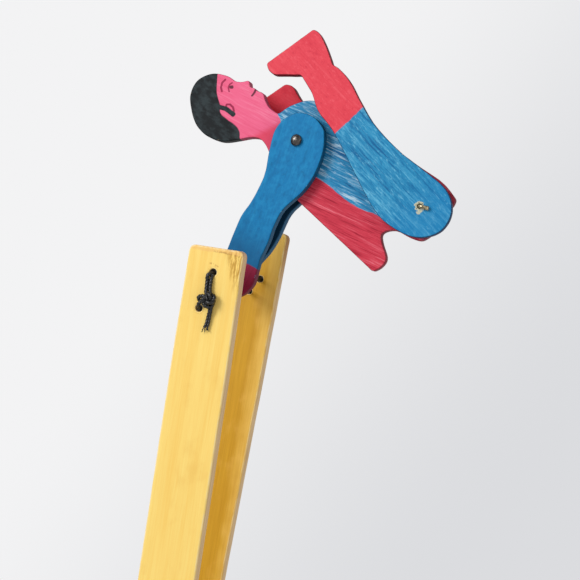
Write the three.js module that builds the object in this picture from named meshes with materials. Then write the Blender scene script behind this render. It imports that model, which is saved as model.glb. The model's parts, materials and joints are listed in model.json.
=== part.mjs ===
// A squeeze-handle flip acrobat: two wooden sticks joined by a crossbar, and a jointed wooden figure
// that hangs by its hands on a loop of cord between the tops of the sticks.
//
// Millimetres, +Z up along the sticks, -Y the front, +X to the right seen from the front.
// The origin is the middle of the crossbar's underside. The cord runs along Y.
import * as THREE from 'three';

// ---- driving dimensions ----
const GAP = 0.3;                 // air between pieces that touch on the real toy
const BODY_THICK = 4.3;          // the board of the body
const LIMB_THICK = 3.8;          // the board of the arms and legs
const STICK_THICK = 5;
const STICK_LEAN = 1.2;          // degrees that each stick's top leans outward
const GRIP_END = -85;            // lower end of both sticks
const TAPER_END = 165;           // the sticks are parallel-sided below this height
// The back stick stands 10 mm higher and hangs askew: turned clockwise on a nail right of its middle.
const FRONT_STICK = { width: 20, topWidth: 19.2, top: 210.3, askew: 0, nailRight: 0 };
const BACK_STICK = { width: 18.6, topWidth: 18.2, top: 220.3, askew: 1.5, nailRight: 3.9 };

const BAR = { width: 18, length: 30.5, height: 15 };
const NAIL = { shank: 1.8, head: 5, headHeight: 1.2, length: 15.5, barHole: 2.6, stickHole: 2.8 };

const CORD = 1.4;                // diameter of the cord
const CORD_HOLE = 2.6;           // cord holes in the sticks
const HAND_HOLE = 2.2;           // cord holes in the hands
const FLIP = { x: 2, z: 200 };   // the axis that the hands turn on
const HAND_SPREAD = 6;           // between a hand's two cord holes
const FRONT_HOLES = { upper: [0, 202], lower: [-3, 189.5] };
const BACK_HOLES = { upper: [3.1, 202.2], lower: [-0.4, 197.3] };

const ARM_LENGTH = 53.2;         // shoulder pin to the middle of the hand
const BODY_LENGTH = 48.75;       // shoulder pin to hip pin
const PIN = 1.2;                 // wire of the shoulder and hip pins
const PIN_HOLE = 2;
const HIP_HOLE_BACK = 2.4;       // roomier, because the back leg leans on its pin

// degrees that each piece is turned from upright, clockwise seen from the front
const ARM_TURN = 15.3;
const BODY_TURN = -70;
const FRONT_LEG_TURN = -228;
const BACK_LEG_TURN = -244.5;
const BACK_LEG_LEAN = 5;         // its foot stands out, so that it passes outside the arm

// ---- places worked out from them ----
const rad = THREE.MathUtils.degToRad;
const ARM_FACE = BODY_THICK / 2 + GAP;              // inner faces of the arms and of the front leg
const ARM_OUTER = ARM_FACE + LIMB_THICK;
const STICK_INNER = BAR.length / 2 + 0.35;          // at the nails
const NAIL_Z = BAR.height / 2;
const SHOULDER = offset([FLIP.x, FLIP.z], [0, ARM_LENGTH], ARM_TURN);
const HIP = offset(SHOULDER, [0, -BODY_LENGTH], BODY_TURN);

const group = new THREE.Group();

// ---- finishes ----
const finish = (color, roughness, metalness = 0) => () =>
  new THREE.MeshStandardMaterial({ color, roughness, metalness });
const yellowWood = finish('#edc15a', 0.55);
const bluePaint = finish('#2f7fb8', 0.5);
const bodyPaint = finish('#4f9fce', 0.5);
const blackCord = finish('#1b1c1c', 0.45);
const steel = finish('#8b8578', 0.4, 0.9);

// ---- helpers ----
// A point given from an origin piece that is turned clockwise, seen from the front.
function offset([ox, oz], [x, z], turn) {
  const c = Math.cos(rad(turn)), s = Math.sin(rad(turn));
  return [ox + x * c + z * s, oz - x * s + z * c];
}

function place(name, geometry, material, parent = group) {
  const mesh = new THREE.Mesh(geometry, material());
  mesh.name = name;
  parent.add(mesh);
  return mesh;
}

// An outline with round holes through it, each [x, z, diameter].
function drilled(shape, holes) {
  for (const [x, z, diameter] of holes) {
    shape.holes.push(new THREE.Path().absarc(x, z, diameter / 2, 0, 2 * Math.PI));
  }
  return shape;
}

// A sawn outline: each run is a smooth curve from the last run's end through its points.
function sawn(runs, holes = []) {
  const shape = new THREE.Shape();
  const corner = runs.at(-1).at(-1);
  shape.moveTo(...corner);
  for (const run of runs) {
    if (run.length > 1) shape.splineThru(run.map(([x, z]) => new THREE.Vector2(x, z)));
    else shape.lineTo(...run[0]);
  }
  return drilled(shape, holes);
}

// A board cut to an XZ outline, from front to front + thick along Y.
function board(shape, front, thick, curveSegments = 3) {
  return new THREE.ExtrudeGeometry(shape, { depth: thick, bevelEnabled: false, curveSegments })
    .rotateX(Math.PI / 2)
    .translate(0, front + thick, 0);
}

// A body turned about Y, from [radius, y] pairs that start and end on the axis.
function turned(profile, segments = 16) {
  return new THREE.LatheGeometry(profile.map(([r, y]) => new THREE.Vector2(r, y)), segments);
}

// A length of cord through the given points, each [x, y, z].
function cord(points, steps) {
  const path = new THREE.CatmullRomCurve3(points.map((p) => new THREE.Vector3(...p)), false, 'centripetal');
  const round = new THREE.Shape().absarc(0, 0, CORD / 2, 0, 2 * Math.PI);
  return new THREE.ExtrudeGeometry(round, { steps, extrudePath: path, curveSegments: 8 });
}

// ---- sticks, crossbar and nails ----
function stickOutline({ width, topWidth, top, askew, nailRight }, cordHoles) {
  const w = width / 2, t = topWidth / 2, edge = 2, foot = 3;
  const shape = new THREE.Shape();
  shape.moveTo(-w + foot, GRIP_END).lineTo(w - foot, GRIP_END);
  shape.quadraticCurveTo(w, GRIP_END, w, GRIP_END + foot);
  shape.lineTo(w, TAPER_END).lineTo(t, top - edge);
  shape.quadraticCurveTo(t, top, t - edge, top);
  shape.lineTo(-t + edge, top).quadraticCurveTo(-t, top, -t, top - edge);
  shape.lineTo(-w, TAPER_END).lineTo(-w, GRIP_END + foot);
  shape.quadraticCurveTo(-w, GRIP_END, -w + foot, GRIP_END);
  const onStick = ([x, z]) => offset([nailRight, NAIL_Z], [x, z - NAIL_Z], -askew);
  const holes = [cordHoles.upper, cordHoles.lower].map((hole) => [...onStick(hole), CORD_HOLE]);
  return drilled(shape, [...holes, [nailRight, NAIL_Z, NAIL.stickHole]]);
}

// side is -1 for the front stick and 1 for the back one; each leans about its nail.
function makeStick(name, side, stick, cordHoles) {
  const lean = new THREE.Group();
  lean.position.set(0, side * STICK_INNER, NAIL_Z);
  lean.rotation.set(-side * rad(STICK_LEAN), rad(stick.askew), 0);
  group.add(lean);
  const front = side < 0 ? -STICK_THICK : 0;
  const geometry = board(stickOutline(stick, cordHoles), front, STICK_THICK, 6);
  place(name, geometry.translate(-stick.nailRight, 0, -NAIL_Z), yellowWood, lean);
}

function makeCrossbar() {
  const { width, length, height } = BAR;
  const w = width / 2;
  const section = new THREE.Shape();
  section.moveTo(-w, 0).lineTo(w, 0).lineTo(w, height).lineTo(-w, height).closePath();
  place('crossbar', board(drilled(section, [[0, NAIL_Z, NAIL.barHole]]), -length / 2, length, 6), yellowWood);
}

function makeNail(name, side) {
  const shank = NAIL.shank / 2, head = NAIL.head / 2, bore = STICK_INNER + STICK_THICK + 0.4;
  const tip = bore - NAIL.length;
  const profile = [[0, tip], [shank, tip + 2.5], [shank, bore], [head, bore],
    [head, bore + 0.4], [head * 0.7, bore + NAIL.headHeight * 0.85], [0, bore + NAIL.headHeight]];
  const mesh = place(name, turned(profile), steel);
  mesh.position.z = NAIL_Z;
  if (side < 0) mesh.rotation.z = Math.PI;
}

// ---- the figure's boards, each drawn upright and facing +X ----
// Head, trunk and coat tail are one board: the shoulder pin is at 0, 0 and the hip pin straight below.
// The head is 25 high from crown to chin, with brow, nose and chin a third of the face apart.
function makeBody() {
  const runs = [
    [[-3.9, 44.4], [2.2, 44.7], [6.9, 40.8], [8.6, 35.2], [8.3, 31.8], [9.3, 29.2], [10.7, 27.2], [9, 25.8],
      [9.4, 24.2], [8.9, 22.7], [9.1, 20.4], [7.2, 18.3], [5.6, 15.6], [5.2, 11.8]],    // hair, face and throat
    [[10, 9], [14.6, 3.6], [16, -5], [14.9, -22], [12, -40], [10.7, -51], [7.8, -57.6]],   // chest and belly
    [[4.5, -57.6], [-1, -54.3], [-6.8, -56.1]],                             // hem, in three scallops
    [[-9.9, -54.2], [-10.8, -50], [-11, -44.6], [-14, -41.2], [-16.9, -42.8], [-20.8, -46.6], [-24.4, -46.4],
      [-26.9, -44.6]],
    [[-18, -9]],                                                            // back edge of the tail
    [[-15, 0.5], [-8.4, 7.8], [-5.6, 12.5], [-6.4, 16.4], [-9.4, 20.6], [-12.6, 25.6], [-13.5, 31.5], [-12.2, 36.6],
      [-9.4, 40.3]],                                                        // nape and hair
  ];
  const holes = [[0, 0, PIN_HOLE], [0, -BODY_LENGTH, PIN_HOLE]];
  const mesh = place('body', board(sawn(runs, holes), -BODY_THICK / 2, BODY_THICK), bodyPaint);
  mesh.position.set(SHOULDER[0], 0, SHOULDER[1]);
  mesh.rotation.y = rad(BODY_TURN);
}

// The shoulder pin is at 0, 0 and the hand hangs straight below. Both arms have the same inner edge.
const INNER_ARM = [[-7.5, -37], [-7.4, -31], [-6.1, -25], [-5.7, -15.5], [-7.4, -8], [-8.8, 0], [-7, 5.6], [-2.8, 9.3],
  [3, 9.5], [7.6, 6.8]];

function makeArm(name, front, sleeve, fist) {
  const hand = -ARM_LENGTH, hole = HAND_SPREAD / 2;
  const holes = [[0, 0, PIN_HOLE], [0, hand + hole, HAND_HOLE], [0, hand - hole, HAND_HOLE]];
  const mesh = place(name, board(sawn([sleeve, fist, INNER_ARM], holes), front, LIMB_THICK), bluePaint);
  mesh.position.set(SHOULDER[0], 0, SHOULDER[1]);
  mesh.rotation.y = rad(ARM_TURN);
}

function makeFrontArm() {
  const sleeve = [[10.1, 0.8], [10.8, -7.7], [9.3, -15.5], [5.6, -23.5], [5, -30], [5.4, -36], [5.2, -42.5]];
  const fist = [[6.2, -48.6], [6.4, -52.3], [4.3, -56.8], [-0.2, -59.6], [-5, -57.8], [-7.3, -53], [-7.1, -47.5]];
  makeArm('front_arm', -ARM_OUTER, sleeve, fist);
}

// Sawn slimmer towards its hand.
function makeBackArm() {
  const sleeve = [[10.1, 0.8], [10.8, -7.7], [9.5, -15.5], [6, -23.5], [5.5, -29], [5.4, -34], [4.6, -39.5],
    [3.2, -43.6], [2.2, -47.5]];
  const fist = [[2.3, -50], [2.9, -53], [2.2, -56.2], [-0.4, -58.7], [-4.6, -57.8], [-7.1, -53], [-7.1, -47.5]];
  makeArm('back_arm', ARM_FACE, sleeve, fist);
}

// The hip pin is at 0, 0, the leg hangs straight below and the toe points to +X.
function makeFrontLeg() {
  const runs = [
    [[10.6, -70.8], [10, -68.4]],                                           // toe cap
    [[3, -62]],
    [[4, -54.5], [6.3, -48], [6.6, -39], [9.9, -23.2], [12.7, -8], [11.4, 0], [8.6, 6], [4.5, 9.7], [-0.8, 11.1],
      [-6, 9.2], [-9.2, 5.2], [-10.2, 0], [-9.1, -6.5], [-6.6, -18], [-5.6, -31], [-6.8, -40], [-8.6, -49],
      [-8.4, -55], [-7.6, -57.2]],                                          // shin, hip end and calf
    [[-9.6, -62.7], [-11, -68.5], [-10.2, -71.4]],                          // heel
    [[9.6, -73.4]],                                                         // sole
  ];
  const mesh = place('front_leg', board(sawn(runs, [[0, 0, PIN_HOLE]]), -ARM_OUTER, LIMB_THICK), bodyPaint);
  mesh.position.set(HIP[0], 0, HIP[1]);
  mesh.rotation.y = rad(FRONT_LEG_TURN);
}

// Sawn by eye: its hip end is smaller than the front leg's, and its foot points further down.
function makeBackLeg() {
  const runs = [
    [[10, -74.2], [8.8, -72.4]],                                            // toe cap
    [[3.2, -60.5]],
    [[4.2, -54], [6.3, -48], [6.6, -39], [9.6, -23.2], [11, -9], [10.2, -2], [8.3, 3.6], [5.2, 6.8], [0.8, 8.2],
      [-3.6, 7.2], [-6.4, 5], [-8.2, 1.2], [-8.7, -4], [-8.2, -10], [-6.6, -18], [-5.6, -31], [-6.8, -40], [-8.6, -49],
      [-7.6, -53], [-6.8, -55.5]],                                          // shin, hip end and calf
    [[-8.4, -61.5], [-10.4, -66], [-9.6, -68.9]],                           // heel
    [[8.4, -76.6]],                                                         // sole
  ];
  const hipEnd = 8.6;                                                       // reach of the hip end past its pin
  const inner = ARM_FACE + GAP + hipEnd * Math.tan(rad(BACK_LEG_LEAN));
  const hip = new THREE.Group();
  hip.position.set(HIP[0], inner, HIP[1]);
  hip.rotation.y = rad(BACK_LEG_TURN);
  const mesh = place('back_leg', board(sawn(runs, [[0, 0, HIP_HOLE_BACK]]), 0, LIMB_THICK), bodyPaint, hip);
  mesh.rotation.x = rad(BACK_LEG_LEAN);
  group.add(hip);
}

// ---- pins ----
// A wire pin along Y with a domed head, peened over at the other end. side is the head's side.
function makePin(name, [x, z], side, head, headFace, tail, tailFace) {
  const r = PIN / 2;
  const profile = [[0, -tailFace - tail.height], [tail.radius * 0.75, -tailFace - tail.height * 0.7],
    [tail.radius, -tailFace], [r, -tailFace], [r, headFace], [head.radius, headFace],
    [head.radius * 0.92, headFace + head.height * 0.45], [head.radius * 0.55, headFace + head.height * 0.9],
    [0, headFace + head.height]];
  const mesh = place(name, turned(profile), steel);
  mesh.position.set(x, 0, z);
  if (side < 0) mesh.rotation.z = Math.PI;
}

// ---- cord ----
// Between a stick and the hands each strand is three lengths: in the stick, free, and in the hands.
const CORD_IN_STICK = 15.9;      // how near the middle the stick's length reaches
const CORD_IN_HANDS = 7;
const OUTSIDE = 25.8;            // the cord's middle where it lies on a stick's outer face
const handHole = (way) => offset(SHOULDER, [0, -ARM_LENGTH + way * HAND_SPREAD / 2], ARM_TURN);
const HAND_HOLES = { upper: handHole(1), lower: handHole(-1) };

// The point of a strand at a distance y from the middle: straight from its hole to the hand.
function strandAt(side, hole, which, y) {
  const straight = 17, bend = 8.6;
  const t = THREE.MathUtils.clamp((straight - y) / (straight - bend), 0, 1);
  const [hx, hz] = HAND_HOLES[which];
  return [hole[0] + (hx - hole[0]) * t, side * y, hole[1] + (hz - hole[1]) * t];
}

function makeFreeSpan(name, side, hole, which) {
  const levels = [CORD_IN_STICK - GAP, 12, 8.6, CORD_IN_HANDS + GAP];
  place(name, cord(levels.map((y) => strandAt(side, hole, which, y)), 8), blackCord);
}

function makeHandCord(name, which) {
  const [x, z] = HAND_HOLES[which];
  place(name, cord([[x, -CORD_IN_HANDS, z], [x, 0, z], [x, CORD_IN_HANDS, z]], 4), blackCord);
}

// On the front stick the two ends come out of the holes and are knotted between them.
function makeFrontCord() {
  const { upper, lower } = FRONT_HOLES;
  const knot = { x: 0.3, z: upper[1] - 9.6, radius: 2.7, height: 4.6 };
  const through = (hole, which) => [CORD_IN_STICK, 17, 20, 24].map((y) => strandAt(-1, hole, which, y));
  const down = [[upper[0], -OUTSIDE, upper[1] - 1.4], [knot.x, -OUTSIDE, upper[1] - 4],
    [knot.x, -OUTSIDE, knot.z + knot.height / 2 + GAP]];
  place('front_upper_cord', cord([...through(upper, 'upper'), ...down], 20), blackCord);
  const up = [[lower[0], -OUTSIDE, lower[1] + 0.6], [lower[0] + 0.4, -OUTSIDE, knot.z - 1.6]];
  place('front_lower_cord', cord([...through(lower, 'lower'), ...up], 18), blackCord);
  const r = CORD / 2, tail = 8.6, half = knot.height / 2;
  const profile = [[0, -half - tail], [r, -half - tail + 0.3], [r, -half - 0.3], [knot.radius * 0.75, -half * 0.75],
    [knot.radius, 0], [knot.radius * 0.75, half * 0.75], [0, half]];
  const tied = place('cord_knot', turned(profile, 12).rotateX(Math.PI / 2), blackCord);
  tied.position.set(knot.x + 0.4, -OUTSIDE - knot.radius + 0.6, knot.z);
  tied.rotation.y = rad(-4);
}

// On the back stick the cord is one bight: out of the upper hole and in at the lower one.
function makeBackCord() {
  const { upper, lower } = BACK_HOLES;
  const out = [CORD_IN_STICK, 17, 20, 24].map((y) => strandAt(1, upper, 'upper', y));
  const back = [24, 20, 17, CORD_IN_STICK].map((y) => strandAt(1, lower, 'lower', y));
  const over = [[upper[0] - 0.8, OUTSIDE, upper[1] - 1.1], [lower[0] + 0.8, OUTSIDE, lower[1] + 1.1]];
  place('back_cord', cord([...out, ...over, ...back], 30), blackCord);
}

// ---- the toy, put together ----
makeStick('front_stick', -1, FRONT_STICK, FRONT_HOLES);
makeStick('back_stick', 1, BACK_STICK, BACK_HOLES);
makeCrossbar();
makeNail('front_nail', -1);
makeNail('back_nail', 1);
makeBody();
makeFrontArm();
makeBackArm();
makeFrontLeg();
makeBackLeg();
makePin('shoulder_pin', SHOULDER, -1, { radius: 2.1, height: 1.4 }, ARM_OUTER + GAP,
  { radius: 1.3, height: 0.75 }, ARM_OUTER + GAP);
makePin('hip_pin', HIP, 1, { radius: 2.1, height: 1.4 }, 7.8, { radius: 1.5, height: 1.1 }, ARM_OUTER + GAP);
for (const which of ['upper', 'lower']) {
  makeFreeSpan(`front_${which}_span`, -1, FRONT_HOLES[which], which);
  makeFreeSpan(`back_${which}_span`, 1, BACK_HOLES[which], which);
  makeHandCord(`${which}_hand_cord`, which);
}
makeFrontCord();
makeBackCord();

export default group;
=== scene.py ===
import json
import math

import bmesh
import bpy
import numpy as np
from mathutils import Matrix, Vector
from mathutils.geometry import delaunay_2d_cdt


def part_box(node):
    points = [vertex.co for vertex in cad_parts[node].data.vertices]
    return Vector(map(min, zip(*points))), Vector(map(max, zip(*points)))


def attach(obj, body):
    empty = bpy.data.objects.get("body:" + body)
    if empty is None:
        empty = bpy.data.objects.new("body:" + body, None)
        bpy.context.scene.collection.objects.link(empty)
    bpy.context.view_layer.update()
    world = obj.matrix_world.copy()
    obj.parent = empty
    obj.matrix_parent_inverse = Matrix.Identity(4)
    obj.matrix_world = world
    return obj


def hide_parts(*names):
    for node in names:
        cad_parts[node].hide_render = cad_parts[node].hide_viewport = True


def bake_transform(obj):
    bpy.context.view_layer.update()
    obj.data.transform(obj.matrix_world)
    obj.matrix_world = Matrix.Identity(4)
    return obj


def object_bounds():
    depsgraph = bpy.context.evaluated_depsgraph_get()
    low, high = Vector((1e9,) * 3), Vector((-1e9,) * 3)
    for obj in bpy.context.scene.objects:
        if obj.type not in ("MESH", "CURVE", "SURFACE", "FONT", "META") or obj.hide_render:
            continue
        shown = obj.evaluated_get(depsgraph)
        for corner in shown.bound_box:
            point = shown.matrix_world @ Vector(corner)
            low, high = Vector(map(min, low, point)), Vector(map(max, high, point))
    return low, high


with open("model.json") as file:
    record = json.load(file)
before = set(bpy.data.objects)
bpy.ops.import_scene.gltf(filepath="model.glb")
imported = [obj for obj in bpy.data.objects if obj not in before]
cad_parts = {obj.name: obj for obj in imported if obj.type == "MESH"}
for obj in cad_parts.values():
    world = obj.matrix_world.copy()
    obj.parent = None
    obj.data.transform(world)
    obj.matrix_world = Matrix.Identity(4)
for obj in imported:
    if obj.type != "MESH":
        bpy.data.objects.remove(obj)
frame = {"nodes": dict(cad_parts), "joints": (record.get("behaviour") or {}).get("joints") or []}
cad_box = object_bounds()
MM = 0.001
pivot = {joint["name"]: Vector(joint["pos_m"]) for joint in frame["joints"]}

# ---- camera ----
# The toy is seen from a hand's reach away, a little to the right of its front and level with the cord,
# with the sticks leaning across the view.
AIM = Vector((20.5, 0, 200.03)) * MM
DISTANCE = 400 * MM
AROUND, ABOVE, ROLL = math.radians(15.272), math.radians(0.265), math.radians(9.132)

backward = Vector((math.sin(AROUND), -math.cos(AROUND), math.tan(ABOVE))) * math.cos(ABOVE)
level = Vector((math.cos(AROUND), math.sin(AROUND), 0))
upward = backward.cross(level)
camera = bpy.data.objects.new("camera", bpy.data.cameras.new("camera"))
camera.data.sensor_width = 36
camera.data.lens = 71.15
camera.data.clip_start = 10 * MM
across = level * math.cos(ROLL) + upward * math.sin(ROLL)
over = upward * math.cos(ROLL) - level * math.sin(ROLL)
camera.matrix_world = Matrix.LocRotScale(
    AIM + backward * DISTANCE, Matrix((across, over, backward)).transposed(), None
)
bpy.context.scene.collection.objects.link(camera)
bpy.context.scene.camera = camera
bpy.context.scene.view_settings.view_transform = "Standard"


# ---- floor and light ----
# A round patch of plain pale floor under the sticks, which fades out at its rim into the pale
# surroundings. Broad soft light comes from the upper left of the front.
def srgb(red, green, blue):
    """A colour on the 0-255 scale, as the linear colour that a shader takes."""
    channels = (c / 255 for c in (red, green, blue))
    return tuple(c / 12.92 if c <= 0.04045 else ((c + 0.055) / 1.055) ** 2.4 for c in channels) + (1.0,)


class Value:
    """An output in a material's node tree that Python's arithmetic works on."""

    def __init__(self, finish, socket):
        self.finish, self.socket = finish, socket

    def _math(self, operation, first, second):
        return self.finish.node("ShaderNodeMath", {"operation": operation}, {0: first, 1: second})

    def __add__(self, other):
        return self._math("ADD", self, other)

    def __sub__(self, other):
        return self._math("SUBTRACT", self, other)

    def __rsub__(self, other):
        return self._math("SUBTRACT", other, self)

    def __mul__(self, other):
        return self._math("MULTIPLY", self, other)

    def __truediv__(self, other):
        return self._math("DIVIDE", self, other)

    def __pow__(self, other):
        return self._math("POWER", self, other)

    def least(self, other):
        return self._math("MINIMUM", self, other)

    def most(self, other):
        return self._math("MAXIMUM", self, other)

    __radd__ = __add__
    __rmul__ = __mul__


class Finish:
    """A material as it is made: node() adds any node, and the rest are the ones used most."""

    def __init__(self, name, world=None):
        self.material = world or bpy.data.materials.new(name)
        self.material.use_nodes = True
        self.tree = self.material.node_tree
        self.shader = self.tree.nodes.get("Principled BSDF") or self.tree.nodes["Background"]

    def node(self, kind, settings=None, inputs=None, output=0):
        made = self.tree.nodes.new(kind)
        for key, value in (settings or {}).items():
            if key == "curve":
                line = made.mapping.curves[0].points
                while len(line) < len(value):
                    line.new(0.5, 0.5)
                for point, spot in zip(line, value):
                    point.location = spot
                made.mapping.update()
            else:
                setattr(made, key, value)
        for key, value in (inputs or {}).items():
            if isinstance(value, Value):
                self.tree.links.new(value.socket, made.inputs[key])
            else:
                made.inputs[key].default_value = value
        return Value(self, made.outputs[output])

    def feed(self, **sockets):
        """Sets the shader's sockets, named with _ for a space."""
        for name, value in sockets.items():
            socket = self.shader.inputs[name.replace("_", " ")]
            if isinstance(value, Value):
                self.tree.links.new(value.socket, socket)
            else:
                socket.default_value = value

    def here(self):
        return self.node("ShaderNodeTexCoord", output="Object")

    def upright(self, pin, turn=0.0, tilt=0.0):
        """Millimetres from a piece's pin, with the piece turned back upright."""
        return self.node(
            "ShaderNodeMapping",
            {"vector_type": "TEXTURE"},
            {"Vector": self.here(), "Location": pin, "Rotation": (tilt, turn, 0), "Scale": (MM, MM, MM)},
        )

    def stretch(self, spot, scale):
        return self.node("ShaderNodeVectorMath", {"operation": "MULTIPLY"}, {0: spot, 1: scale})

    def noise(self, spot, scale=(1, 1, 1), detail=3.0, rough=0.5, warp=0.0):
        """Noise from 0 to 1 whose grains are 1 mm where scale is 1, longer where it is smaller."""
        inputs = {"Vector": self.stretch(spot, scale), "Scale": 1.0, "Detail": detail, "Roughness": rough,
                  "Distortion": warp}
        return self.node("ShaderNodeTexNoise", {"normalize": True}, inputs)

    def between(self, value, low, high):
        """0 where value is below low, 1 above high, and smooth between them."""
        inputs = {0: value, 1: low, 2: high, 3: 0.0, 4: 1.0}
        return self.node("ShaderNodeMapRange", {"interpolation_type": "SMOOTHSTEP"}, inputs)

    def mix(self, share, first, second, blend="MIX"):
        """The first colour where share is 0, and the second where it is 1."""
        settings = {"data_type": "RGBA", "blend_type": blend, "clamp_factor": True}
        return self.node("ShaderNodeMix", settings, {0: share, 6: first, 7: second}, output=2)

    def curve(self, value, line):
        """What a smooth line through (value, result) points gives."""
        lows = [min(axis) for axis in zip(*line)]
        spans = [max(axis) - min(axis) for axis in zip(*line)]
        points = [((a - lows[0]) / spans[0], (b - lows[1]) / spans[1]) for a, b in sorted(line)]
        share = self.node("ShaderNodeFloatCurve", {"curve": points}, {1: (value - lows[0]) / spans[0]})
        return share * spans[1] + lows[1]

    def bump(self, height, depth, strength=1.0):
        inputs = {"Strength": strength, "Distance": depth, "Height": height}
        return self.node("ShaderNodeBump", None, inputs)


FLOOR_RADIUS = 330 * MM
floor_level = cad_box[0].z

rim = bmesh.new()
bmesh.ops.create_circle(rim, cap_ends=True, cap_tris=False, radius=FLOOR_RADIUS, segments=96)
bmesh.ops.translate(rim, verts=rim.verts, vec=(0, 0, floor_level - 0.05 * MM))
floor = bpy.data.objects.new("floor", bpy.data.meshes.new("floor"))
rim.to_mesh(floor.data)
rim.free()
bpy.context.scene.collection.objects.link(floor)
pale = Finish("pale_floor")
pale.feed(Base_Color=srgb(236, 237, 240), Roughness=0.9)
reach = pale.node("ShaderNodeVectorMath", {"operation": "LENGTH"}, {0: pale.here()}, output="Value")
pale.feed(Alpha=1.0 - pale.between(reach, 0.35 * FLOOR_RADIUS, 0.98 * FLOOR_RADIUS))
floor.data.materials.append(pale.material)

world = bpy.data.worlds.new("surroundings")
bpy.context.scene.world = world
air = Finish("surroundings", world)
# The camera sees the surroundings darker towards the lower right of the view: a painted shade, like a soft
# shadow on a pale backdrop. The light they give stays an even grey.
direction = air.node("ShaderNodeTexCoord", output="Generated")
slope = air.node("ShaderNodeVectorMath", {"operation": "DOT_PRODUCT"},
                 {0: direction, 1: across * 0.8 - over * 0.6}, output="Value")
seen = air.mix(air.between(slope, -0.12, 0.26), srgb(243, 243, 244), srgb(219, 220, 223))
straight = air.node("ShaderNodeLightPath", output="Is Camera Ray")
AMBIENT = 0.52
air.feed(Color=air.mix(straight, (AMBIENT, AMBIENT, AMBIENT * 1.03, 1), seen), Strength=1.0)


def soft_light(name, place, size, watts):
    lamp = bpy.data.objects.new(name, bpy.data.lights.new(name, "AREA"))
    lamp.data.shape = "DISK"
    lamp.data.size = size
    lamp.data.energy = watts
    lamp.location = place
    lamp.rotation_euler = (Vector(place) - AIM).to_track_quat("Z", "Y").to_euler()
    bpy.context.scene.collection.objects.link(lamp)


soft_light("window", (-0.62, -0.85, 0.62), 0.55, 7.7)
soft_light("bounce", (0.9, -0.7, 0.35), 0.8, 1.2)


# ---- sticks ----
# Two strips of softwood lath with a thin golden varnish, sawn narrower towards the top and sanded on
# the edges by hand. Each hangs on one nail in the crossbar and has two holes for the cord.
def outline_loops(bm, face_on, corner, right, top):
    """The edge loops of a board's front face, on the board's own right and up axes."""
    ways = {}
    for edge in bm.edges:
        kinds = [face in face_on for face in edge.link_faces]
        if len(kinds) == 2 and kinds[0] != kinds[1]:
            for a, b in (edge.verts, reversed(edge.verts)):
                ways.setdefault(a, []).append(b)
    loops = []
    while ways:
        start = next(iter(ways))
        loop, last, now = [], None, start
        while now in ways:
            loop.append(now)
            last, now = now, next((v for v in ways.pop(now) if v is not last and v in ways), None)
        flat = np.array([[(v.co - corner).dot(right), (v.co - corner).dot(top)] for v in loop])
        loops.append(flat)
    return loops


def area_inside(loop):
    x, y = loop.T
    return 0.5 * np.sum(x * np.roll(y, -1) - y * np.roll(x, -1))


def even_steps(loop, step):
    closed = np.vstack([loop, loop[:1]])
    along = np.concatenate([[0], np.cumsum(np.linalg.norm(np.diff(closed, axis=0), axis=1))])
    count = max(24, int(round(along[-1] / step)))
    at = np.linspace(0, along[-1], count, endpoint=False)
    return np.stack([np.interp(at, along, closed[:, i]) for i in (0, 1)], axis=1)


def outward(loop):
    """The unit directions out of the wood, for a loop with the wood on its left."""
    along = np.roll(loop, -1, axis=0) - np.roll(loop, 1, axis=0)
    along /= np.linalg.norm(along, axis=1, keepdims=True)
    return np.stack([along[:, 1], -along[:, 0]], axis=1)


def hand_sawn(loop, chance, wander):
    """The loop as a fretsaw and sandpaper leave it: its corners eased and its line wandering a little."""
    for weight in (0.5, -0.52) * 4:
        loop = loop + weight * ((np.roll(loop, 1, axis=0) + np.roll(loop, -1, axis=0)) / 2 - loop)
    angle = np.linspace(0, 2 * np.pi, len(loop), endpoint=False)
    swing = sum(
        np.sin(angle * turns + chance.uniform(0, 6.28)) / turns**0.5 for turns in chance.integers(6, 60, 9)
    )
    return loop + outward(loop) * (swing * wander)[:, None]


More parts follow.
